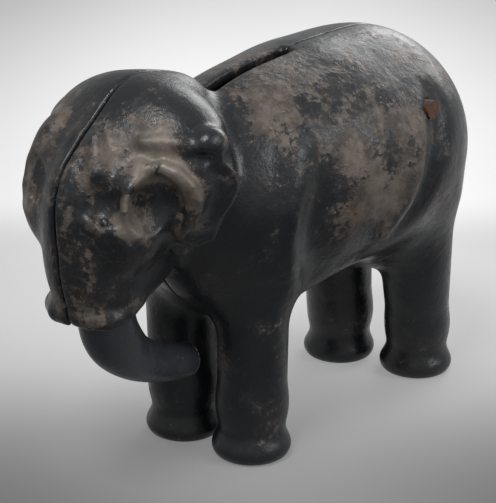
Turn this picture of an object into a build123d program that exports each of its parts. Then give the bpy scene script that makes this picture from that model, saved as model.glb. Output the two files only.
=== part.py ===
from build123d import *
import math
import os

os.makedirs("parts", exist_ok=True)

# Figural elephant coin bank. Millimetres, +Z up, head towards -X, left flank towards -Y.
# Origin: centre of the footprint, on the plane the feet stand on.

# ---- driving dimensions ---------------------------------------------------------------
WALL = 2.8            # thickness of the cast shell
ANGLES = 14           # steps round each half section of the body

BARREL = ((19.3, 0.0, 59.3), (39.0, 28.2, 27.7))
RUMP = ((37.0, 0.0, 56.5), (22.8, 23.9, 27.3))
WITHERS = ((-4.4, 0.0, 56.0), (29.5, 23.3, 27.4))
SKULL = ((-36.3, 0.0, 70.8), (14.5, 23.5, 17.9))
FACE = ((-49.0, 0.0, 57.2), (10.9, 10.9, 21.3))
NAPE = ((-26.4, 0.0, 68.0), (12.8, 8.3, 18.3))
BRIDGE = ((-53.2, 0.0, 66.0), (6.4, 6.0, 9.0))
BROW = ((-50.1, 10.5, 63.8), (6.7, 5.8, 9.6))
CHEEK = ((-40.5, 5.2, 50.6), (7.1, 2.9, 5.6))
LIP = ((-53.2, 6.8, 43.0), (3.4, 3.2, 2.8))

RIM_Z = 40.3          # lower edge of the hood that the trunk hangs from
RIM_X = -56.0         # front of that edge
RIM_RISE = 0.28       # how fast the edge climbs towards the throat

# station x, height of the section's centre
STATIONS = (
    (-60.2, 63.6), (-59.8, 62.0), (-59.0, 61.0), (-57.4, 60.0), (-55.0, 59.0), (-52.0, 59.5),
    (-48.5, 60.5), (-45.0, 62.0), (-41.5, 63.5), (-37.5, 65.5), (-34.0, 66.0), (-30.5, 65.0),
    (-27.5, 63.5), (-24.5, 62.0), (-21.0, 60.5), (-17.0, 59.5), (-12.0, 58.5), (-4.0, 58.0),
    (5.0, 58.0), (14.0, 58.5), (23.0, 58.5), (31.0, 58.5), (38.5, 58.5), (45.0, 58.0),
    (50.5, 58.0), (54.8, 58.0), (58.0, 58.0), (60.0, 58.0), (60.8, 58.0),
)
HOLLOW = (
    (-56.2, 60.0), (-54.4, 60.5), (-51.0, 60.5), (-46.5, 61.5),
    (-42.0, 63.5), (-37.0, 66.0), (-32.0, 65.0), (-27.0, 62.0), (-22.0, 60.5), (-16.0, 59.0),
    (-8.0, 58.0), (2.0, 58.0), (14.0, 58.5), (26.0, 58.5), (37.0, 58.5), (45.0, 58.0),
    (51.5, 58.0), (55.5, 58.0), (57.2, 58.0),
)

# legs: height, radius, how far the axis leans from the foot towards the top of the leg
FOOT = ((0.0, 7.7), (1.6, 8.5), (3.4, 8.2), (6.0, 7.3), (11.0, 7.0))
FRONT_LEG = ((22.0, 7.4, 0.3), (33.0, 8.3, 0.65), (43.0, 9.2, 1.0), (52.0, 6.5, 1.2))
HIND_LEG = ((20.0, 7.3, 0.2), (32.0, 8.2, 0.6), (43.0, 9.2, 1.0), (52.0, 6.5, 1.4))
FRONT_TOP = (-12.6, 10.8)
HIND_TOP_LEAN = (-3.2, 12.5)
FRONT_FOOT = {"left": (-12.6, 9.3), "right": (-14.0, 9.6)}
HIND_FOOT = {"left": (48.2, 9.9), "right": (42.4, 9.9)}

EAR_HOLLOW = (-55.1, 20.0, 67.2, 9.3)
EAR_KNOB = (-37.4, 19.6, 76.6, 3.6)
EAR_LOBE = (-34.0, 20.2, 66.0, 3.8)
EYE = (-56.3, 10.2, 65.2, 1.3)
TAIL_OUTER = ((57.4, 73.0), (60.4, 66.8), (61.3, 58.0), (60.5, 49.6), (57.6, 43.6))
TAIL_INNER = ((55.2, 44.6), (57.4, 51.0), (58.2, 58.0), (57.4, 65.6), (55.0, 71.8))
TAIL_WIDE = 3.4

SLOT_FRONT = (-17.5, 82.0)
SLOT_BACK = (9.6, 86.4)
SLOT_WIDE = 3.4       # takes coins up to about 2.5 thick
MOUTH_X = (-55.8, -34.6)
MOUTH_HALF = 6.5
MOUTH_TOP = 56.0

PIVOT = (-38.0, 58.4)
PIN_R = 1.5
PIN_HALF = 12.0
PIN_BOSS_R = 4.2
PIN_BOSS_IN = 3.9     # the two bosses stop this far from the centre plane
HUB_R = 3.4
HUB_HALF = 3.5
BORE_GAP = 0.06       # running clearance of the trunk on its pin
SEAT_GAP = 0.03

SCREW = (30.4, 71.6)
SCREW_R = 2.0
SCREW_BOSS_R = 4.6
SCREW_HEAD_R = 3.4
SCREW_HEAD_TALL = 2.2
SCREW_SLOT = (0.9, 1.0)

# trunk: x, z, half depth, half width
TRUNK = (
    (-39.4, 57.0, 2.8, 3.2), (-42.8, 52.6, 3.2, 3.8), (-45.4, 47.6, 4.2, 4.9),
    (-46.6, 42.6, 5.4, 5.8), (-46.4, 38.0, 6.1, 6.1), (-43.8, 33.4, 6.0, 6.0),
    (-39.4, 29.2, 5.1, 5.2), (-33.6, 26.0, 4.4, 4.5), (-27.6, 24.2, 3.9, 4.0),
    (-21.6, 23.0, 3.6, 3.6),
)
LEVER_END = (-12.0, 66.5)
LEVER_THICK = 3.0
LEVER_WIDE = 4.0
PADDLE = (7.0, 8.0, 1.6)


# ---- the animal's form as one formula --------------------------------------------------
def blob(p, centre, radii):
    q = [(p[i] - centre[i]) / radii[i] for i in range(3)]
    a = math.sqrt(sum(v * v for v in q)) + 1e-9
    b = math.sqrt(sum((q[i] / radii[i]) ** 2 for i in range(3))) + 1e-9
    return a * (a - 1.0) / b


def join(a, b, k):
    h = max(k - abs(a - b), 0.0) / k
    return min(a, b) - h * h * k / 4.0


def meet(a, b, k):
    return -join(-a, -b, k)


def rough_head(p):
    head = join(blob(p, *SKULL), blob(p, *FACE), 8.0)
    head = join(head, blob(p, *NAPE), 6.0)
    return head


def torso(p):
    body = join(blob(p, *BARREL), blob(p, *RUMP), 8.0)
    return join(body, blob(p, *WITHERS), 6.0)


def form(x, y, z):
    """Distance outside the head and body, negative inside."""
    p = (x, abs(y), z)
    head = join(rough_head(p), blob(p, *BRIDGE), 4.0)
    head = join(head, blob(p, *BROW), 4.0)
    head = join(head, blob(p, *CHEEK), 5.0)
    head = join(head, blob(p, *LIP), 2.0)
    rim = RIM_Z + RIM_RISE * (x - RIM_X) - z
    head = meet(head, rim, 1.5)
    return join(torso(p), head, 4.0)


def core(x, y, z):
    """The same for the hollow: one wall in from the form without its small features."""
    p = (x, abs(y), z)
    rim = RIM_Z + RIM_RISE * (x - RIM_X) - z
    return join(torso(p), meet(rough_head(p), rim, 1.5), 6.0) + WALL


def reach(shape, x, y, z, dy, dz):
    """Distance from a point inside to the shape's skin."""
    step = 0.5
    far = step
    while shape(x, y + dy * far, z + dz * far) < 0.0 and far < 60.0:
        far += step
    near = far - step
    for _ in range(24):
        mid = (near + far) / 2.0
        if shape(x, y + dy * mid, z + dz * mid) < 0.0:
            near = mid
        else:
            far = mid
    return near


def half_section(shape, x, zc, sign, past):
    """Half of a section, closed along the joint plane or a little past it."""
    points = []
    for i in range(ANGLES + 1):
        a = math.pi * i / ANGLES
        r = max(reach(shape, x, 0.0, zc, math.sin(a), math.cos(a)), 0.6)
        points.append((x, sign * r * math.sin(a), zc + r * math.cos(a)))
    points[0] = (x, 0.0, points[0][2])
    points[-1] = (x, 0.0, points[-1][2])
    curve = Spline(*points, tangents=((0, sign, 0), (0, -sign, 0)))
    top, bottom = points[0], points[-1]
    if past:
        far_top, far_bottom = (x, -sign * past, top[2]), (x, -sign * past, bottom[2])
        close = Line(bottom, far_bottom) + Line(far_bottom, far_top) + Line(far_top, top)
    else:
        close = Line(bottom, top)
    return make_face(curve + close)


def lofted(shape, stations, sign, past=0.0):
    return loft([half_section(shape, x, zc, sign, past) for x, zc in stations], ruled=True)


def skin_y(x, z):
    return reach(form, x, 0.0, z, 1.0, 0.0)


# ---- small helpers ---------------------------------------------------------------------
def side(name):
    return -1.0 if name == "left" else 1.0


def at(x, y, z):
    return Pos(x, y, z)


def ball(spot, sign):
    x, y, z, r = spot
    return at(x, sign * y, z) * Sphere(r)


def rod(x, z, y0, y1, r):
    """Round bar along Y between y0 and y1."""
    return at(x, (y0 + y1) / 2.0, z) * Rot(90, 0, 0) * Cylinder(r, abs(y1 - y0))


def leg(foot, top, upper, sign):
    x, y = foot
    rings = [at(x, sign * y, z) * Circle(r) for z, r in FOOT]
    for z, r, lean in upper:
        cx = x + (top[0] - x) * lean
        cy = y + (top[1] - y) * lean
        rings.append(at(cx, sign * cy, z) * Circle(r))
    return loft(rings, ruled=True)


# ---- the two half castings -------------------------------------------------------------
def slot_cutter():
    (x0, z0), (x1, z1) = SLOT_FRONT, SLOT_BACK
    tilt = math.degrees(math.atan2(z1 - z0, x1 - x0))
    long = math.hypot(x1 - x0, z1 - z0)
    return at((x0 + x1) / 2, 0, (z0 + z1) / 2) * Rot(0, -tilt, 0) * Box(long, SLOT_WIDE, 16)


def mouth_cutter():
    x0, x1 = MOUTH_X
    block = Box(x1 - x0, 2 * MOUTH_HALF, MOUTH_TOP - 34.0)
    block = fillet(block.edges().filter_by(Axis.Z), 2.5)
    return at((x0 + x1) / 2, 0, (MOUTH_TOP + 34.0) / 2) * block


def ear(sign):
    return ball(EAR_KNOB, sign) + ball(EAR_LOBE, sign)


def tail(sign):
    """One side of the raised rib down the rump."""
    outer = Spline(*[(x, 0, z) for x, z in TAIL_OUTER])
    inner = Spline(*[(x, 0, z) for x, z in TAIL_INNER])
    ends = Line(outer @ 1, inner @ 0) + Line(inner @ 1, outer @ 0)
    return extrude(make_face(outer + inner + ends), amount=TAIL_WIDE / 2, dir=(0, sign, 0))


def half_casting(name):
    s = side(name)
    outer = lofted(form, STATIONS, s)
    hollow = lofted(core, HOLLOW, s, past=2.0)
    front = leg(FRONT_FOOT[name], FRONT_TOP, FRONT_LEG, s)
    hx, hy = HIND_FOOT[name]
    hind = leg((hx, hy), (hx + HIND_TOP_LEAN[0], HIND_TOP_LEAN[1]), HIND_LEG, s)
    half = outer + front + hind + tail(s)
    half -= ball(EAR_HOLLOW, s)
    half += ear(s)
    half += ball(EYE, s)
    half -= hollow
    px, pz = PIVOT
    sx, sz = SCREW
    skin_screw = skin_y(sx, sz)
    half += rod(px, pz, s * PIN_BOSS_IN, s * (skin_y(px, pz) - 1.0), PIN_BOSS_R)
    half += rod(sx, sz, 0, s * (skin_y(sx, sz + SCREW_BOSS_R) - 0.6), SCREW_BOSS_R)
    half -= rod(px, pz, 0, s * (PIN_HALF + 0.2), PIN_R + SEAT_GAP)
    half -= rod(sx, sz, -s, s * 40, SCREW_R + SEAT_GAP)
    if name == "right":
        half -= rod(sx, sz, s * (skin_screw - 1.4), s * 40, SCREW_HEAD_R + 0.5)
    half -= slot_cutter()
    half -= mouth_cutter()
    return half


# ---- trunk, pin and screw --------------------------------------------------------------
def trunk_plane(i):
    a = TRUNK[max(i - 1, 0)]
    b = TRUNK[min(i + 1, len(TRUNK) - 1)]
    x, z = TRUNK[i][0], TRUNK[i][1]
    return Plane(origin=(x, 0, z), x_dir=(0, 1, 0), z_dir=(b[0] - a[0], 0, b[1] - a[1]))


def trunk_casting():
    rings = [trunk_plane(i) * Ellipse(t[3], t[2]) for i, t in enumerate(TRUNK)]
    horn = loft(rings)
    tip = horn.faces().sort_by(Axis.X)[-1]
    horn = fillet(tip.edges(), 1.6)
    px, pz = PIVOT
    hub = rod(px, pz, -HUB_HALF, HUB_HALF, HUB_R)
    lx, lz = LEVER_END
    tilt = math.degrees(math.atan2(lz - pz, lx - px))
    long = math.hypot(lx - px, lz - pz)
    bar = at((px + lx) / 2, 0, (pz + lz) / 2) * Rot(0, -tilt, 0) * Box(long, LEVER_WIDE, LEVER_THICK)
    paddle = at(lx, 0, lz) * Rot(0, -tilt, 0) * Box(*PADDLE)
    whole = horn + hub + bar + paddle
    return whole - rod(px, pz, -20, 20, PIN_R + BORE_GAP)


def pivot_pin():
    pin = rod(PIVOT[0], PIVOT[1], -PIN_HALF, PIN_HALF, PIN_R)
    return chamfer(pin.edges(), 0.3)


def case_screw():
    x, z = SCREW
    seat = skin_y(x, z) - 1.4
    shank = rod(x, z, -(skin_y(x, z) + 0.2), seat, SCREW_R)
    head = rod(x, z, seat, seat + SCREW_HEAD_TALL, SCREW_HEAD_R)
    head = fillet(head.edges().sort_by(Axis.Y)[-1], 1.5)
    wide, deep = SCREW_SLOT
    cut = at(x, seat + SCREW_HEAD_TALL, z) * Rot(0, 35, 0) * Box(20, 2 * deep, wide)
    return shank + head - cut


export_step(half_casting("left"), "parts/left_half.step")
export_step(half_casting("right"), "parts/right_half.step")
export_step(trunk_casting(), "parts/trunk.step")
export_step(pivot_pin(), "parts/trunk_pivot_pin.step")
export_step(case_screw(), "parts/case_screw.step")
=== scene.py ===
import math

import bpy
import numpy as np
import openvdb
from mathutils import Matrix, Vector


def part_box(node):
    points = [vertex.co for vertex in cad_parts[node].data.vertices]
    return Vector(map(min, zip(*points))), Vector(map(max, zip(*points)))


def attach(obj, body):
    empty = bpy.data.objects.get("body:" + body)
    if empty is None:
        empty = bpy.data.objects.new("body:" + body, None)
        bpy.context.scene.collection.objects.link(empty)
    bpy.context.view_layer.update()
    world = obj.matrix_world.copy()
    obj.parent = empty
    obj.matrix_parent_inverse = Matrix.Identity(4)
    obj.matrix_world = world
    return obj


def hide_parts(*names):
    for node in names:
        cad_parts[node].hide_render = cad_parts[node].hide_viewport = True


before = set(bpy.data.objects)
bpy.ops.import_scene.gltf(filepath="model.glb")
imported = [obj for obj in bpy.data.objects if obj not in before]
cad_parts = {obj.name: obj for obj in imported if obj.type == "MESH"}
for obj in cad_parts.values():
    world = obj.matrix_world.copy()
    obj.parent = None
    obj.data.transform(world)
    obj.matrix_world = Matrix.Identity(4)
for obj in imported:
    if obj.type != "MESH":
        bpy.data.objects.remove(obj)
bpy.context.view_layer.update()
scene = bpy.context.scene


def axis_of(node):
    """x and z of a round CAD piece that lies across the animal, in millimetres."""
    low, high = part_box(node)
    return tuple(round(float(low[i] + high[i]) * 500, 1) for i in (0, 2))


# ---- sizes: millimetres in the sculpting part, with y counted outwards from the joint plane ----
GRID = 0.42       # one cell of the sculpting grid
BLOCK = 12                               # cells along a block, worked out whole or skipped
BATCH = 400                              # blocks worked out at a time
HALF_SPACE = ((-62.5, -1.5, -1.5), (63.5, 30.5, 91.0))
TRUNK_SPACE = ((-55.0, -8.0, 17.0), (-6.0, 8.0, 71.0))
TINY = 1e-6                              # keeps a division off zero

WALL = 2.8
THIN_WALL = 1.9                          # least metal left where the relief is cut deep

# x and y of each foot; for each leg, its radius at the top and at the waist
FRONT_FOOT = {"left": (-12.6, 9.3), "right": (-13.7, 9.6)}
FRONT_RADII = {"left": (7.8, 7.6), "right": (7.8, 8.0)}
FRONT_TOP = (-13.9, 10.8, 45)
HIND_FOOT = {"left": (48.2, 9.9), "right": (43.2, 9.9)}
HIND_RADII = {"left": (9.4, 7.4), "right": (10.0, 7.8)}
HIND_LEAN = {"left": 6.6, "right": 1.4}  # how far the top is in front of the foot
HIND_TOP = (12.5, 46)                    # y and z
ANKLE_Z = 12
ANKLE_RADIUS = 7.0

# the head differs a little from side to side
HEAD_SLIM = {"left": 1.0, "right": 1.02}
LIP_SWELL = {"left": 0.0, "right": 0.6}

# lower edge of the hood: its height at RIM_X, outside and in the hollow, and its slope
RIM_X = -56.0
RIM_Z = 40.6
HOLLOW_RIM_Z = 40.3
RIM_SLOPE = 0.28

SLOT_X = (-17.5, 9.6)
SLOT_HALF = 1.7
SLOT_FLOOR = 70.0
MOUTH_X = (-55.8, -34.6)
MOUTH_HALF = 6.5
MOUTH_CORNER = 2.8
MOUTH_Z = (34.0, 56.0)

SCREW = axis_of("case_screw")
SCREW_HOLE = 2.05
POST_RADIUS = 4.6
POST_END = 20.8                          # the screw post runs from the joint plane out to here
SCREW_RECESS = {"left": (2.4, 24.3), "right": (3.9, 23.0)}      # radius, and y of its floor

PIVOT = axis_of("trunk_pivot_pin")
PIN_BOSS_RADIUS = 4.2
PIN_BOSS_Y = (3.9, 14.0)
HUB_RADIUS = 3.4
HUB_HALF = 3.5
HUB_BORE = 1.56

LEVER_END = (-12.0, 66.5)
LEVER_RADIUS = 1.6
PLATE_REACH = (2.6, 0.8)                 # from the middle of the striking plate to its edge
PLATE_RADIUS = 0.9

# x, z, half depth, half width of the trunk's sections, and the flat that ends it
TRUNK = (
    (-39.4, 57.0, 2.8, 3.2), (-42.8, 52.6, 3.2, 3.8), (-45.6, 47.6, 4.2, 4.9),
    (-46.8, 42.6, 5.4, 5.8), (-46.6, 38.2, 5.8, 6.0), (-44.5, 33.7, 5.8, 6.0),
    (-40.2, 29.4, 5.0, 5.2), (-34.6, 26.2, 4.4, 4.5), (-28.6, 24.1, 4.0, 4.1),
    (-20.0, 22.4, 3.7, 3.7),
)
TIP = (-22.5, 22.7)
TIP_NORMAL = (0.98, -0.2)

# half the seam's width at the rump, how much it grows down the face, and from where to where
SEAM_HALF = 0.06
SEAM_GROWS = 0.21
SEAM_GROWS_X = (-36.0, -54.0)

# worn places on the left half, mirrored on the right one: x, y outwards, z, radius, strength
WORN = (
    # back, beside the slot and over the rump
    (-2.0, 6.0, 84.0, 9.0, 0.8), (8.0, 10.0, 84.0, 9.0, 0.5), (-12.0, 9.0, 81.0, 7.0, 0.7),
    (22.0, 14.0, 82.0, 11.0, 0.35), (34.0, 12.0, 83.0, 9.0, 0.45), (42.0, 16.0, 76.0, 9.0, 0.5),
    # flank
    (4.0, 21.0, 74.0, 8.0, 0.55), (14.0, 24.0, 72.0, 8.0, 0.6), (16.0, 27.0, 60.0, 9.0, 0.7),
    (10.0, 27.0, 54.0, 8.0, 0.8), (5.0, 26.0, 62.0, 6.0, 0.7), (1.0, 24.0, 68.0, 5.0, 0.6),
    (24.0, 26.0, 66.0, 8.0, 0.55), (2.0, 25.0, 49.0, 7.0, 0.6), (-3.0, 24.0, 55.0, 6.0, 0.5),
    # shoulder and nape
    (-9.0, 17.0, 75.0, 7.0, 0.8), (-5.0, 22.0, 68.0, 5.0, 0.5), (-15.0, 13.0, 76.0, 5.0, 0.5),
    # crown and forehead
    (-50.0, 8.0, 78.0, 8.0, 0.6), (-54.0, 4.0, 72.0, 7.0, 0.6), (-46.0, 12.0, 80.0, 7.0, 0.6),
    # ear
    (-44.9, 18.6, 73.5, 3.4, 1.4), (-42.9, 21.2, 69.4, 3.4, 1.4), (-42.7, 18.4, 63.0, 3.2, 1.2),
    (-47.6, 15.0, 74.6, 3.0, 1.3), (-37.4, 21.4, 78.0, 3.8, 1.0), (-35.0, 23.0, 72.0, 3.0, 0.7),
    # eye, brow and the fold above the ear
    (-54.6, 13.6, 64.2, 4.0, 1.3), (-57.0, 9.6, 64.0, 3.0, 0.9), (-52.0, 15.4, 64.6, 3.2, 1.0),
    (-50.6, 13.6, 73.0, 2.6, 0.9), (-53.4, 14.2, 69.0, 2.4, 0.8), (-44.0, 15.0, 79.4, 4.0, 0.7),
    # face, hood and lip
    (-58.6, 1.5, 56.0, 7.0, 0.5), (-58.0, 2.0, 48.0, 6.0, 0.5), (-54.0, 8.0, 44.0, 4.0, 0.6),
    (-48.0, 8.6, 45.0, 4.0, 0.5), (-52.0, 10.5, 52.0, 5.0, 0.4), (-56.0, 5.0, 60.0, 4.0, 0.5),
    # shoulder, rump, belly and the tip of the trunk
    (-14.0, 22.0, 62.0, 7.0, 0.35), (52.0, 14.0, 70.0, 9.0, 0.5), (57.0, 8.0, 60.0, 8.0, 0.4),
    (34.0, 25.0, 50.0, 8.0, 0.3), (-22.0, 5.0, 24.0, 4.0, 0.5), (-30.0, 3.0, 27.0, 5.0, 0.3),
    (20.0, 22.0, 38.0, 6.0, 0.3),
)
MOST_WORN = 1.4

# material slots of the record
PAINT = "black_painted_iron"
TRUNK_PAINT = "black_painted_iron_trunk"

# ---- the stage, in metres ----
FLOOR_HALF = 4.0
FLOOR_DEEP = (0.756, 0.654)              # level direction that the floor's shades follow
SOFT_BOXES = (                           # name, place, size, power
    ("key", (-0.42, -0.12, 0.80), (0.26, 0.26), 5.2),
    ("side", (0.25, -0.80, 0.55), (0.45, 0.35), 3.2),
    ("rear", (0.64, 0.12, 0.36), (0.50, 0.40), 2.3),
)
LIGHTS_AIM = (0, 0, 0.05)
SKY = 0.50
EYE = (-0.2711, -0.2318, 0.1722)
AZIMUTH, ELEVATION = -49.13, 20.18
LENS = 122.98


# ---- solid shapes as distance fields, below zero inside ---------------------------------
def vec(*v):
    return np.array(v, np.float32)


def blob(p, centre, radii):
    """Ellipsoid."""
    q = p - vec(*centre)
    r = vec(*radii)
    a = np.sqrt(((q / r) ** 2).sum(-1)) + TINY
    b = np.sqrt(((q / (r * r)) ** 2).sum(-1)) + TINY
    return a * (a - 1) / b


def limb(p, a, b, ra, rb):
    """Round bar from a to b, with a radius at each end."""
    a, b = vec(*a), vec(*b)
    ab = b - a
    t = np.clip(((p - a) @ ab) / (ab @ ab), 0, 1)
    return np.linalg.norm(p - a - t[..., None] * ab, axis=-1) - (ra + (rb - ra) * t)


def cord(p, *points):
    """Round bar through (x, y, z, radius) points."""
    d = None
    for a, b in zip(points, points[1:]):
        s = limb(p, a[:3], b[:3], a[3], b[3])
        d = s if d is None else np.minimum(d, s)
    return d


def join(a, b, k):
    """Both shapes, with a fillet of width k between them."""
    h = np.maximum(k - np.abs(a - b), 0) / k
    return np.minimum(a, b) - h * h * k / 4


def meet(a, b, k):
    """What the shapes share, its edge rounded over the width k."""
    return -join(-a, -b, k)


def carve(a, b, k):
    """The first shape without the second."""
    return meet(a, -b, k)


def ramp(v, a, b):
    """0 before a, 1 after b, and smooth between them."""
    t = np.clip((v - a) / (b - a), 0, 1)
    return t * t * (3 - 2 * t)


# ---- the animal ------------------------------------------------------------------------
def torso(p):
    barrel = blob(p, (19.3, 0, 59.8), (39.0, 28.2, 26.4))
    rump = blob(p, (36.6, 0, 58.3), (22.4, 23.9, 26.3))
    shoulders = blob(p, (-4.4, 0, 56.6), (29.5, 23.3, 26.8))
    return join(join(barrel, rump, 8), shoulders, 6)


def rough_head(p):
    crown = blob(p, (-36.3, 0, 70.8), (14.5, 23.5, 17.9))
    muzzle = blob(p, (-49.0, 0, 57.2), (10.9, 10.9, 21.3))
    nape = blob(p, (-26.4, 0, 68.0), (12.8, 8.3, 18.3))
    return join(join(crown, muzzle, 8), nape, 6)


def flanks(p, d):
    """Shoulder and haunch: soft ridges with a crease beside each."""
    shoulder = cord(
        p, (-9.8, 18.6, 69.5, 1.6), (-12.0, 19.8, 63.6, 2.0), (-14.0, 20.0, 58.6, 2.2),
        (-14.6, 19.6, 53.4, 2.2), (-13.8, 18.8, 47.6, 2.2), (-11.6, 17.2, 41.5, 1.8),
    )
    behind_shoulder = cord(
        p, (-4.0, 28.8, 67.5, 4.6), (-7.0, 29.0, 60.5, 5.2), (-8.8, 28.5, 53.4, 5.4),
        (-8.0, 26.8, 46.4, 5.4), (-5.6, 23.6, 40.0, 4.8),
    )
    haunch_crease = cord(
        p, (32.6, 24.6, 75.0, 1.0), (31.0, 27.6, 68.5, 1.7), (27.6, 29.4, 62.4, 2.1),
        (25.0, 29.9, 57.0, 2.3), (22.0, 29.0, 51.6, 2.3), (18.6, 26.6, 46.0, 2.3),
        (14.2, 22.6, 40.0, 2.0),
    )
    before_haunch = cord(
        p, (22.4, 24.6, 66.5, 1.4), (20.4, 25.6, 60.6, 1.8), (17.6, 25.4, 54.6, 1.8),
        (13.4, 23.4, 48.0, 1.6),
    )
    d = join(d, shoulder, 5.0)
    d = carve(d, behind_shoulder, 5.0)
    d = carve(d, haunch_crease, 6.0)
    return join(d, before_haunch, 4.5)


def above_rim(p, rim_z):
    """Below zero above the sloping lower edge of the hood."""
    return rim_z + RIM_SLOPE * (p[..., 0] - RIM_X) - p[..., 2]


def hood(p, d, swell):
    """Cheeks, lip and the lower edge that the trunk hangs from."""
    bridge = blob(p, (-53.2, 0, 66.0), (6.4, 6.0, 9.0))
    cheek = blob(p, (-50.1, 10.5, 63.8), (6.7, 5.8, 9.6))
    jaw = blob(p, (-40.5, 5.2, 50.6), (7.1, 2.9, 5.6))
    lip = cord(
        p, (-56.2, 0, 43.4, 1.2 + swell), (-55.4, 4.5, 43.0, 1.9 + swell),
        (-52.8, 7.2, 43.0, 2.5 + swell), (-49.4, 8.0, 43.8, 2.0), (-46.0, 7.6, 45.0, 1.2),
    )
    d = join(d, bridge, 4)
    d = join(d, cheek, 4)
    d = join(d, jaw, 5)
    d = join(d, lip, 2.2)
    return meet(d, above_rim(p, RIM_Z - 1.8 * swell), 1.3)      # a fuller lip hangs lower


def face(p, d):
    """Brow, eye socket, the hollow before the ear, and the eye."""
    inner_brow = cord(
        p, (-51.6, 3.2, 79.0, 1.0), (-53.2, 5.2, 75.7, 1.4), (-54.6, 6.7, 72.2, 1.5),
        (-56.4, 7.2, 68.8, 1.2),
    )
    socket = blob(p, (-57.1, 10.6, 69.4), (3.6, 4.4, 5.2))
    outer_brow = cord(p, (-48.9, 12.8, 74.4, 1.2), (-52.0, 13.5, 71.3, 1.5), (-53.8, 14.0, 67.5, 1.3))
    before_ear = blob(p, (-50.4, 18.2, 67.9), (5.8, 5.2, 6.2))
    lower_lid = cord(p, (-57.6, 6.2, 64.4, 0.7), (-57.1, 9.1, 63.6, 0.9), (-55.6, 12.2, 63.2, 0.8))
    eye = blob(p, (-56.8, 10.4, 65.2), (1.0, 1.0, 1.0))
    d = join(d, inner_brow, 2.5)
    d = carve(d, socket, 1.8)
    d = join(d, outer_brow, 2.2)
    d = carve(d, before_ear, 1.1)
    d = join(d, lower_lid, 2.0)
    return join(d, eye, 0.3)


def ear(p, d):
    """Knob above, bowl with a rolled front rim, and a thin wavy back edge."""
    nape_hollow = blob(p, (-24.0, 25.8, 78.4), (9.6, 9.6, 5.6))
    notch = cord(p, (-37.6, 24.6, 74.6, 2.0), (-33.0, 21.8, 74.0, 3.2), (-28.0, 18.0, 73.6, 3.6))
    lobe_notch = blob(p, (-31.6, 22.6, 62.8), (3.6, 3.4, 2.6))
    knob = blob(p, (-37.8, 20.4, 78.2), (3.9, 3.1, 3.5))
    fold = cord(
        p, (-47.2, 11.6, 79.0, 0.8), (-45.2, 14.2, 79.2, 1.0), (-43.0, 17.2, 78.8, 1.2),
        (-39.8, 19.8, 77.8, 1.4),
    )
    under_fold = cord(p, (-46.2, 17.8, 76.9, 0.6), (-42.8, 20.8, 76.6, 1.0), (-39.8, 22.8, 76.2, 1.0))
    bowl = cord(
        p, (-39.6, 24.2, 73.4, 1.8), (-38.2, 25.0, 69.5, 2.6), (-39.2, 24.2, 65.6, 2.4),
        (-39.2, 21.4, 61.6, 2.0),
    )
    front_rim = cord(
        p, (-48.4, 14.2, 74.5, 0.9), (-46.8, 16.3, 74.9, 1.3), (-45.4, 18.8, 73.7, 1.6),
        (-44.0, 20.6, 71.2, 1.7), (-43.3, 21.3, 68.4, 1.7), (-43.2, 20.2, 64.8, 1.5),
        (-43.5, 17.4, 60.8, 1.1),
    )
    back_edge = cord(
        p, (-37.2, 22.2, 74.9, 0.9), (-34.4, 22.6, 72.1, 1.0), (-33.0, 22.4, 69.3, 1.0),
        (-34.8, 22.3, 66.8, 1.0), (-36.0, 21.2, 64.2, 0.9), (-35.0, 19.0, 61.2, 1.1),
        (-35.2, 17.8, 58.4, 1.1), (-38.4, 17.0, 57.8, 1.0), (-41.6, 16.2, 59.4, 0.8),
    )
    d = carve(d, nape_hollow, 3.0)
    d = carve(d, notch, 2.6)
    d = carve(d, lobe_notch, 1.6)
    d = join(d, knob, 1.6)
    d = join(d, fold, 1.6)
    d = carve(d, under_fold, 1.0)
    d = carve(d, bowl, 1.2)
    d = join(d, front_rim, 0.9)
    return join(d, back_edge, 1.4)


def smoother(p, head, plain):
    """The head with its relief held close to the plain shape, except at the back of the ear."""
    x = p[..., 0]
    proud = 0.3 + 3.0 * ramp(x, -36.5, -31.0)
    sunk = 0.5 + 4.0 * ramp(x, -42.0, -36.0)
    return join(meet(head, plain - proud, 0.6), plain + sunk, 0.6)


def leg(p, foot, top, radii):
    """Round column from a flared foot with a flat sole up into the body."""
    x, y = foot
    top_radius, waist = radii
    shank = limb(p, (x, y, ANKLE_Z), top, waist, top_radius)
    ankle = limb(p, (x, y, 2.5), (x, y, ANKLE_Z), ANKLE_RADIUS, ANKLE_RADIUS)
    flare = blob(p, (x - 0.3, y, 2.4), (8.6, 8.6, 3.8))
    d = join(join(shank, ankle, 3), flare, 3)
    return meet(d, -p[..., 2], 0.8)


def tail(p):
    """Low rib down the rump."""
    return cord(
        p, (57.0, 0, 72.5, 1.3), (59.6, 0, 66.6, 1.6), (60.0, 0, 58.0, 1.5),
        (59.4, 0, 50.6, 1.4), (57.2, 0, 45.6, 1.7),
    )


def body(p, side):
    """Outside of the animal on one side of the joint plane."""
    d = flanks(p, torso(p))
    plain = hood(p, rough_head(p * vec(1.0, HEAD_SLIM[side], 1.0)), LIP_SWELL[side])
    if side == "right":
        temple = blob(p, (-48.2, 10.6, 72.4), (6.0, 4.0, 8.0))
        plain = join(plain, temple, 5.0)
    head = ear(p, face(p, plain))
    if side == "right":
        head = smoother(p, head, plain)
    d = join(d, head, 3.5)
    d = join(d, tail(p), 1.2)
    d = join(d, leg(p, FRONT_FOOT[side], FRONT_TOP, FRONT_RADII[side]), 6)
    groin = blob(p, (36.0, 0, 36.0), (11.0, 12.0, 7.0))
    d = join(d, groin, 6)
    x, y = HIND_FOOT[side]
    hind_leg = leg(p, (x, y), (x - HIND_LEAN[side], *HIND_TOP), HIND_RADII[side])
    return join(d, hind_leg, 6)


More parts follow.
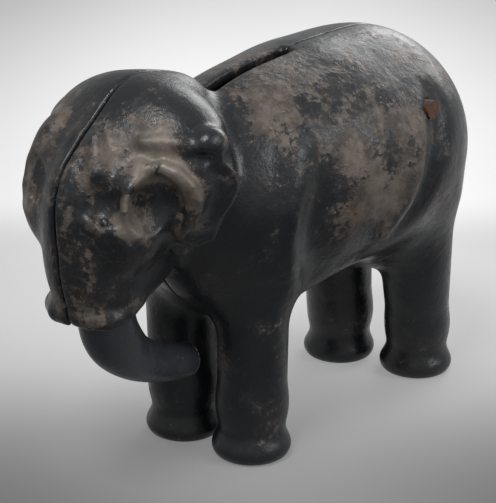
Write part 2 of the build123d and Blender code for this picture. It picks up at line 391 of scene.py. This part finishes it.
def openings(p):
    """Coin slot and the hole under the hood, below zero inside them."""
    x, y, z = p[..., 0], p[..., 1], p[..., 2]
    round_front = np.sqrt(np.maximum(SLOT_X[0] + SLOT_HALF - x, 0) ** 2 + y ** 2) - SLOT_HALF
    slot = np.maximum(np.maximum(round_front, x - SLOT_X[1]), SLOT_FLOOR - z)
    middle, half_long = (MOUTH_X[0] + MOUTH_X[1]) / 2, (MOUTH_X[1] - MOUTH_X[0]) / 2
    along = np.maximum(np.abs(x - middle) - half_long + MOUTH_CORNER, 0)
    across = np.maximum(np.abs(y) - MOUTH_HALF + MOUTH_CORNER, 0)
    mouth = np.maximum(np.hypot(along, across) - MOUTH_CORNER, np.maximum(z - MOUTH_Z[1], MOUTH_Z[0] - z))
    return np.minimum(slot, mouth)


def hollow(p):
    """The inside of the casting, a wall's thickness within the plain outside."""
    head = meet(rough_head(p), above_rim(p, HOLLOW_RIM_Z), 1.5)
    return join(torso(p), head, 6.0) + WALL


def off_axis(p, axis):
    """Distance from an axis that lies across the animal."""
    return np.sqrt((p[..., 0] - axis[0]) ** 2 + (p[..., 2] - axis[1]) ** 2)


def half(side):
    """One hollow casting, with its screw post and the boss for the trunk's pin."""
    def shape(p):
        x, y = p[..., 0], p[..., 1]
        d = body(p, side)
        d = carve(d, np.maximum(hollow(p), d + THIN_WALL), 0.8)
        d = carve(d, openings(p), 1.1)
        off_screw = off_axis(p, SCREW)
        d = np.minimum(d, np.maximum(off_screw - POST_RADIUS, y - POST_END))
        boss = np.maximum(off_axis(p, PIVOT) - PIN_BOSS_RADIUS, PIN_BOSS_Y[0] - y)
        boss = np.maximum(boss, y - PIN_BOSS_Y[1])
        d = np.minimum(d, carve(boss, openings(p), 0.3))
        recess, floor_y = SCREW_RECESS[side]
        d = np.maximum(d, SCREW_HOLE - off_screw)
        d = np.maximum(d, -np.maximum(off_screw - recess, floor_y - y))
        seam = SEAM_HALF + SEAM_GROWS * ramp(-x, -SEAM_GROWS_X[0], -SEAM_GROWS_X[1])
        edge = 0.3 + 0.4 * ramp(-x, 20.0, 40.0)      # rounder along the face
        return meet(d, seam - y, edge)
    return shape


def between(a, b, c, d, t):
    """Smooth curve from b to c, with a and d their neighbours."""
    square, cube = 2 * a - 5 * b + 4 * c - d, 3 * b - a - 3 * c + d
    return 0.5 * (2 * b + (c - a) * t + square * t * t + cube * t ** 3)


def horn(p):
    """The curled trunk: oval sections along a smooth curve, cut flat at the tip."""
    x, y, z = p[..., 0], p[..., 1], p[..., 2]
    ends = np.array((TRUNK[0],) + TRUNK + (TRUNK[-1],))
    rings = [between(*ends[i:i + 4], t) for i in range(len(TRUNK) - 1) for t in (0, 0.25, 0.5, 0.75)]
    rings.append(ends[-1])
    d = None
    for a, b in zip(rings, rings[1:]):
        run_x, run_z = b[0] - a[0], b[1] - a[1]
        t = ((x - a[0]) * run_x + (z - a[1]) * run_z) / (run_x * run_x + run_z * run_z)
        t = np.clip(t, 0, 1)
        off = np.hypot(x - a[0] - t * run_x, z - a[1] - t * run_z)
        deep, wide = a[2] + (b[2] - a[2]) * t, a[3] + (b[3] - a[3]) * t
        e = np.sqrt((off / deep) ** 2 + (y / wide) ** 2) + TINY
        s = e * (e - 1) / (np.sqrt((off / deep ** 2) ** 2 + (y / wide ** 2) ** 2) + TINY)
        d = s if d is None else join(d, s, 0.3)
    return meet(d, TIP_NORMAL[0] * (x - TIP[0]) + TIP_NORMAL[1] * (z - TIP[1]), 1.8)


def trunk(p):
    """The horn with its bored hub, the lever behind it and the plate that a coin strikes."""
    off_pin = np.hypot(p[..., 0] - PIVOT[0], p[..., 2] - PIVOT[1])
    hub = np.maximum(off_pin - HUB_RADIUS, np.abs(p[..., 1]) - HUB_HALF)
    end_x, end_z = LEVER_END
    reach_x, reach_z = PLATE_REACH
    lever = limb(p, (PIVOT[0], 0, PIVOT[1]), (end_x, 0, end_z), LEVER_RADIUS, LEVER_RADIUS)
    plate = limb(
        p, (end_x - reach_x, 0, end_z - reach_z), (end_x + reach_x, 0, end_z + reach_z),
        PLATE_RADIUS, PLATE_RADIUS,
    )
    d = np.minimum(horn(p), hub)
    d = np.minimum(np.minimum(d, lever), plate)
    return np.maximum(d, HUB_BORE - off_pin)


# ---- from distance field to mesh -------------------------------------------------------
def sculpt(shape, space):
    """Points and quads of a shape's surface; only the blocks near the surface are worked out."""
    lo, hi = np.array(space[0], float), np.array(space[1], float)
    n = (np.ceil((hi - lo) / GRID / BLOCK).astype(int)) * BLOCK
    far = 3 * GRID
    values = np.full(n, far, np.float32)
    middles = [lo[i] + GRID * (np.arange(0, n[i], BLOCK) + BLOCK / 2) for i in range(3)]
    coarse = shape(np.stack(np.meshgrid(*middles, indexing="ij"), -1).astype(np.float32))
    half_diagonal = 0.5 * BLOCK * GRID * math.sqrt(3)
    margin = 1.5 * half_diagonal + 1.0
    for i, j, k in np.argwhere(coarse <= -margin) * BLOCK:
        values[i:i + BLOCK, j:j + BLOCK, k:k + BLOCK] = -far
    span = np.arange(BLOCK)
    cells = np.stack(np.meshgrid(span, span, span, indexing="ij"), -1).reshape(1, -1, 3)
    near = np.argwhere(np.abs(coarse) < margin) * BLOCK
    for start in range(0, len(near), BATCH):
        index = near[start:start + BATCH, None, :] + cells
        found = np.clip(shape((lo + GRID * index).astype(np.float32)), -far, far)
        values[index[..., 0], index[..., 1], index[..., 2]] = found
    grid = openvdb.FloatGrid(far)
    grid.copyFromArray(values)
    grid.transform = openvdb.createLinearTransform(GRID)
    points, quads = grid.convertToQuads(isovalue=0)
    return points + lo, quads[:, ::-1]


def wear(mesh):
    """Point attribute that the paint reads: how far it has been rubbed away."""
    co = np.empty(len(mesh.vertices) * 3, np.float32)
    mesh.vertices.foreach_get("co", co)
    co = co.reshape(-1, 3) * 1000
    amount = np.zeros(len(co), np.float32)
    for x, y, z, radius, strength in WORN:
        d2 = (co[:, 0] - x) ** 2 + (np.abs(co[:, 1]) - y) ** 2 + (co[:, 2] - z) ** 2
        amount += strength * np.exp(-d2 / (radius * radius))
    attribute = mesh.attributes.new("wear", "FLOAT", "POINT")
    attribute.data.foreach_set("value", np.clip(amount, 0, MOST_WORN))


def casting(name, points, quads, paint, cad_body, node):
    """One sculpted piece, which rides on a CAD body and stands for a CAD node."""
    mesh = bpy.data.meshes.new(name)
    mesh.from_pydata((points / 1000).tolist(), [], quads.tolist())
    mesh.update()
    mesh.polygons.foreach_set("use_smooth", [True] * len(mesh.polygons))
    obj = bpy.data.objects.new(name, mesh)
    scene.collection.objects.link(obj)
    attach(obj, cad_body)
    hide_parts(node)
    wear(mesh)
    mesh.materials.append(paint)


# ---- materials ---------------------------------------------------------------------------
def material(name):
    m = bpy.data.materials.new(name)
    m.use_nodes = True
    return m, m.node_tree, m.node_tree.nodes["Principled BSDF"]


def put(tree, kind, **settings):
    node = tree.nodes.new(kind)
    for key, value in settings.items():
        setattr(node, key, value)
    return node


def feed(tree, socket, value):
    """Link an output to the socket, or set its own value; a colour is given without alpha."""
    if isinstance(value, bpy.types.NodeSocket):
        tree.links.new(value, socket)
    else:
        socket.default_value = (*value, 1) if isinstance(value, tuple) else value


def calc(tree, operation, *values):
    node = put(tree, "ShaderNodeMath", operation=operation)
    for socket, value in zip(node.inputs, values):
        feed(tree, socket, value)
    return node.outputs[0]


def add(tree, a, b):
    return calc(tree, "ADD", a, b)


def times(tree, a, b):
    return calc(tree, "MULTIPLY", a, b)


def remap(tree, value, a, b, lo=0.0, hi=1.0):
    """Smooth step from lo at a to hi at b."""
    node = put(tree, "ShaderNodeMapRange", interpolation_type="SMOOTHSTEP")
    for socket, v in zip(node.inputs, (value, a, b, lo, hi)):
        feed(tree, socket, v)
    return node.outputs[0]


def mix(tree, factor, a, b):
    node = put(tree, "ShaderNodeMix", data_type="RGBA")
    for i, value in ((0, factor), (6, a), (7, b)):      # the sockets of its colour mode
        feed(tree, node.inputs[i], value)
    return node.outputs[2]


def noise(tree, place, scale, detail=4.0, rough=0.6, distort=0.0):
    node = put(tree, "ShaderNodeTexNoise")
    feed(tree, node.inputs["Vector"], place)
    for key, value in (("Scale", scale), ("Detail", detail), ("Roughness", rough), ("Distortion", distort)):
        feed(tree, node.inputs[key], value)
    return node.outputs[0]


def bump(tree, shader, height, strength, distance):
    node = put(tree, "ShaderNodeBump")
    feed(tree, node.inputs["Strength"], strength)
    feed(tree, node.inputs["Distance"], distance)
    feed(tree, node.inputs["Height"], height)
    feed(tree, shader.inputs["Normal"], node.outputs[0])


def painted_iron(name, rub=0.0, painted_light_factor=1.0):
    """Old black paint with fine pits, gone to brown iron where hands and shelves have rubbed it; the most
    rubbed iron is paler, partly polish and partly painted highlight, and the last argument scales the
    paint's colours as painted light.
    """
    m, t, shader = material(name)
    place = put(t, "ShaderNodeTexCoord").outputs["Object"]

    def tex(*look):
        return noise(t, place, *look)

    def layers(*rows):
        """Noises added up: a weight, then what tex takes."""
        total = None
        for weight, *look in rows:
            part = times(t, tex(*look), weight)
            total = part if total is None else add(t, total, part)
        return total

    # how near each spot is to bare metal, and the marks that follow from it
    worn = put(t, "ShaderNodeAttribute", attribute_name="wear").outputs["Fac"]
    field = layers((0.55, 110, 5.0, 0.62, 0.5), (0.32, 290, 4.0, 0.65, 0.3), (0.30, 800, 3.0, 0.7))
    level = add(t, field, times(t, worn, 0.155))
    bare = remap(t, level, 0.680 - rub, 0.742 - rub)
    soft = remap(t, level, 0.58 - rub, 0.74 - rub)
    chips = remap(t, tex(950, 3.0, 0.7), 0.66, 0.70)
    chips = times(t, chips, remap(t, level, 0.56, 0.70))
    rust = remap(t, tex(150, 4.0, 0.65, 0.8), 0.60, 0.72)

    cool, warm = (0.0062, 0.0080, 0.0105), (0.0115, 0.0122, 0.0135)
    # the paint's colours scaled by the last argument: above one, a paler copy of the same paint as painted
    # light
    cool, warm = (tuple(painted_light_factor * v for v in shade) for shade in (cool, warm))
    paint = mix(t, remap(t, tex(60, 3.0, 0.6), 0.35, 0.7), cool, warm)
    iron = mix(t, remap(t, tex(300, 4.0, 0.7), 0.35, 0.68), (0.044, 0.036, 0.031), (0.120, 0.098, 0.083))
    iron = mix(t, times(t, rust, 0.35), iron, (0.15, 0.062, 0.030))
    # the most rubbed iron turns pale grey-beige: partly real polish, partly a painted highlight, as on the
    # ear's front rim
    polish_and_highlight = remap(t, worn, 1.0, MOST_WORN, 0.0, 0.4)
    iron = mix(t, polish_and_highlight, iron, (0.22, 0.195, 0.165))
    colour = mix(t, times(t, soft, 0.38), paint, (0.046, 0.041, 0.038))
    colour = mix(t, bare, colour, iron)
    colour = mix(t, times(t, chips, 0.45), colour, (0.26, 0.22, 0.19))
    feed(t, shader.inputs["Base Color"], colour)
    shader.inputs["Specular IOR Level"].default_value = 0.38

    rough = remap(t, tex(210, 4.0, 0.65), 0.3, 0.7, 0.25, 0.40)
    rough = add(t, rough, times(t, bare, 0.17))
    rough = add(t, rough, times(t, chips, 0.1))
    feed(t, shader.inputs["Roughness"], rough)
    feed(t, shader.inputs["Metallic"], times(t, bare, 0.25))

    height = layers((0.35, 1100, 3.0, 0.7), (0.8, 330, 4.0, 0.6), (1.2, 120, 3.0, 0.6))
    height = calc(t, "SUBTRACT", height, times(t, bare, 0.22))
    height = calc(t, "SUBTRACT", height, times(t, chips, 0.25))
    bump(t, shader, height, 0.55, 0.0004)
    return m


def metal(name, dark, light, rough, rusty=0.0):
    """Grainy metal between two colours, with rust in spots."""
    m, t, shader = material(name)
    place = put(t, "ShaderNodeTexCoord").outputs["Object"]
    grain, spots = noise(t, place, 900, 4.0, 0.7), noise(t, place, 300, 4.0, 0.6, 0.5)
    colour = mix(t, remap(t, grain, 0.35, 0.65), dark, light)
    if rusty:
        colour = mix(t, times(t, remap(t, spots, 0.4, 0.6), rusty), colour, (0.19, 0.066, 0.025))
    feed(t, shader.inputs["Base Color"], colour)
    shader.inputs["Metallic"].default_value = 0.35 if rusty else 0.85
    feed(t, shader.inputs["Roughness"], remap(t, spots, 0.3, 0.7, rough - 0.08, rough + 0.12))
    bump(t, shader, grain, 0.4, 0.0002)
    return m


def pale_floor():
    """Pale grey with painted shade and light: darker in front, to both sides and in the near corners, a
    paler band behind the animal, darker again further back; half of it glows, painted light which weakens
    the shadows.
    """
    m, t, shader = material("pale_floor")
    spot = put(t, "ShaderNodeSeparateXYZ")
    feed(t, spot.inputs[0], put(t, "ShaderNodeTexCoord").outputs["Object"])
    x, y = spot.outputs[0], spot.outputs[1]
    ahead, aside = FLOOR_DEEP
    deep = add(t, times(t, x, ahead), times(t, y, aside))
    wide = calc(t, "ABSOLUTE", calc(t, "SUBTRACT", times(t, x, aside), times(t, y, ahead)))

    def grey(v):
        return (v, v, v)

    # painted shade: darker towards the front, a painted lit band further back, darker again beyond it, and
    # darker to both sides
    shade = mix(t, remap(t, deep, -0.06, 0.075), grey(0.245), grey(0.62))
    shade = mix(t, remap(t, deep, 0.115, 0.165), shade, grey(0.84))
    shade = mix(t, remap(t, deep, 0.2, 0.6), shade, grey(0.52))
    shade = mix(t, times(t, remap(t, wide, 0.02, 0.16), 0.42), shade, grey(0.12))
    # painted shade in the near corners
    corner_shade = times(t, remap(t, wide, 0.0, 0.06), remap(t, deep, -0.05, 0.04, 1.0, 0.0))
    shade = mix(t, times(t, corner_shade, 0.62), shade, grey(0.08))
    # painted glow: half the shade is base colour and the same shade glows, which weakens the cast shadows
    feed(t, shader.inputs["Base Color"], mix(t, 0.5, shade, grey(0.0)))
    feed(t, shader.inputs["Emission Color"], shade)
    shader.inputs["Emission Strength"].default_value = 0.55
    shader.inputs["Roughness"].default_value = 0.8
    shader.inputs["Specular IOR Level"].default_value = 0.1
    return m


# ---- the object ----------------------------------------------------------------------------
body_paint = painted_iron(PAINT)
# the trunk: the same paint 3.2 times paler, painted light where the lamps leave the trunk too dark
trunk_paint = painted_iron(TRUNK_PAINT, rub=-0.02, painted_light_factor=3.2)
for side in ("left", "right"):
    points, quads = sculpt(half(side), HALF_SPACE)
    if side == "left":
        points[:, 1] *= -1
        quads = quads[:, ::-1]
    casting(side + "_casting", points, quads, body_paint, "case", side + "_half")
points, quads = sculpt(trunk, TRUNK_SPACE)
casting("trunk_casting", points, quads, trunk_paint, "trunk", "trunk")

for node, look in (
    ("trunk_pivot_pin", metal("pin_steel", (0.20, 0.19, 0.18), (0.42, 0.40, 0.38), 0.34)),
    ("case_screw", metal("rusted_screw", (0.030, 0.021, 0.016), (0.10, 0.062, 0.042), 0.6, 0.6)),
):
    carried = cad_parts[node]
    if not carried.data.materials:
        carried.data.materials.append(look)
    for slot in carried.material_slots:
        slot.material = look


# ---- stage, light and camera -----------------------------------------------------------
def lay_floor():
    mesh = bpy.data.meshes.new("floor")
    corners = [(x, y, 0.0) for y in (-FLOOR_HALF, FLOOR_HALF) for x in (-FLOOR_HALF, FLOOR_HALF)]
    mesh.from_pydata(corners, [], [(0, 1, 3, 2)])
    mesh.update()
    mesh.materials.append(pale_floor())
    floor = bpy.data.objects.new("floor", mesh)
    scene.collection.objects.link(floor)


def light_all_round():
    world = bpy.data.worlds.new("studio")
    scene.world = world
    world.use_nodes = True
    sky = world.node_tree.nodes["Background"]
    sky.inputs[0].default_value = (1.0, 1.0, 1.0, 1)
    sky.inputs[1].default_value = SKY


def soft_box(name, place, size, power):
    light = bpy.data.lights.new(name, "AREA")
    light.shape = "RECTANGLE"
    light.size, light.size_y = size
    light.energy = power
    lamp = bpy.data.objects.new(name, light)
    scene.collection.objects.link(lamp)
    lamp.location = place
    lamp.rotation_mode = "QUATERNION"
    lamp.rotation_quaternion = (Vector(LIGHTS_AIM) - Vector(place)).to_track_quat("-Z", "Y")


def set_camera():
    camera = bpy.data.cameras.new("camera")
    camera.sensor_width = 36
    camera.sensor_fit = "AUTO"
    camera.lens = LENS
    camera.clip_start, camera.clip_end = 0.01, 20
    az, el = math.radians(AZIMUTH), math.radians(ELEVATION)
    away = Vector((math.sin(az) * math.cos(el), -math.cos(az) * math.cos(el), math.sin(el)))
    right = Vector((math.cos(az), math.sin(az), 0))
    up = away.cross(right)
    eye = bpy.data.objects.new("camera", camera)
    scene.collection.objects.link(eye)
    eye.matrix_world = Matrix((
        (right.x, up.x, away.x, EYE[0]),
        (right.y, up.y, away.y, EYE[1]),
        (right.z, up.z, away.z, EYE[2]),
        (0, 0, 0, 1),
    ))
    scene.camera = eye


lay_floor()
light_all_round()
for row in SOFT_BOXES:
    soft_box(*row)
set_camera()
scene.view_settings.view_transform = "Standard"

bpy.context.view_layer.update()
